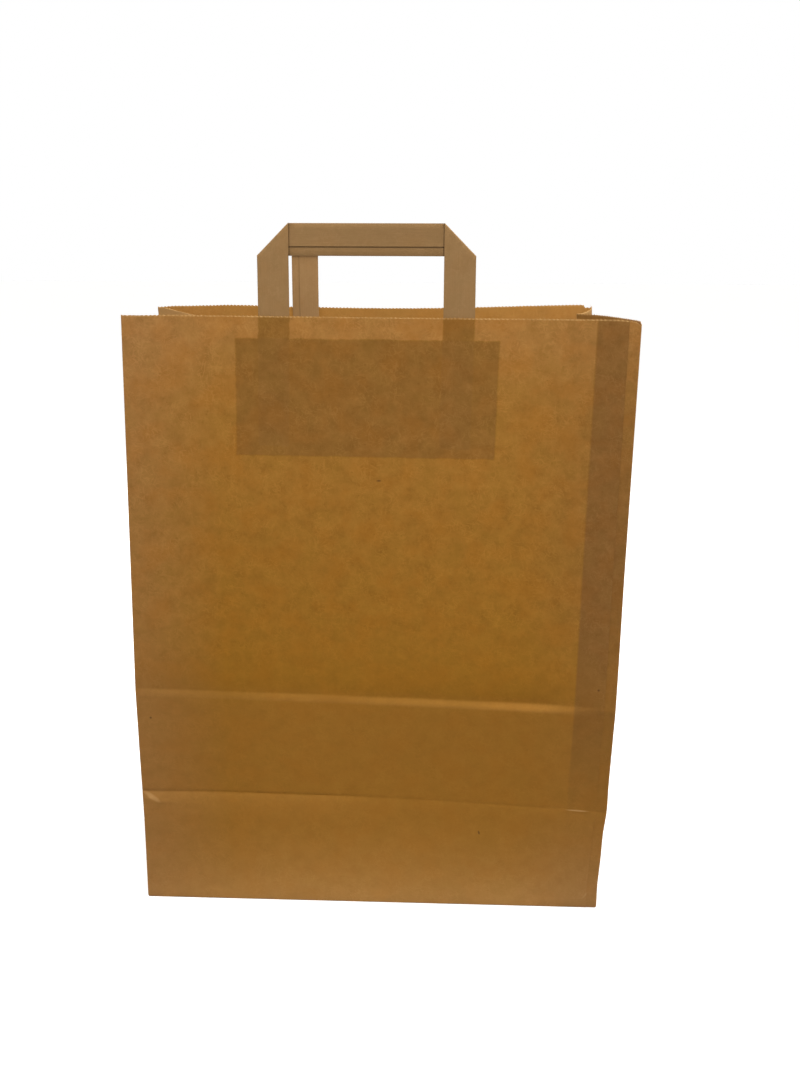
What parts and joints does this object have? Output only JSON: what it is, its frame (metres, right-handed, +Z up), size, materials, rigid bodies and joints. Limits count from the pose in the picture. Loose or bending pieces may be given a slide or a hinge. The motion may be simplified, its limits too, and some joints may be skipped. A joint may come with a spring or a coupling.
{
  "type": "paper carrier bag",
  "caption": "Open block-bottom kraft paper carrier bag with pleated sides, a folded flat base and two flat folded-paper handles glued inside.",
  "frame": {"origin": "centre of the folded base's underside, where the bag stands", "axes": "+Z up, from the base to the mouth; -Y is the front panel, the one with the glued seam; +X is to the right as the front is seen"},
  "size_m": [0.32, 0.179, 0.4655],
  "materials": {
    "kraft_sheet": "matt brown kraft paper, mottled, with faint fibres",
    "handle_strip": "matt greyish brown kraft paper, folded to three plies",
    "patch_paper": "matt greyish brown kraft paper"
  },
  "bodies": {
    "root": {"bag_body": "kraft_sheet", "front_handle": "handle_strip", "back_handle": "handle_strip", "front_patch": "patch_paper", "back_patch": "patch_paper"}
  },
  "joints": []
}
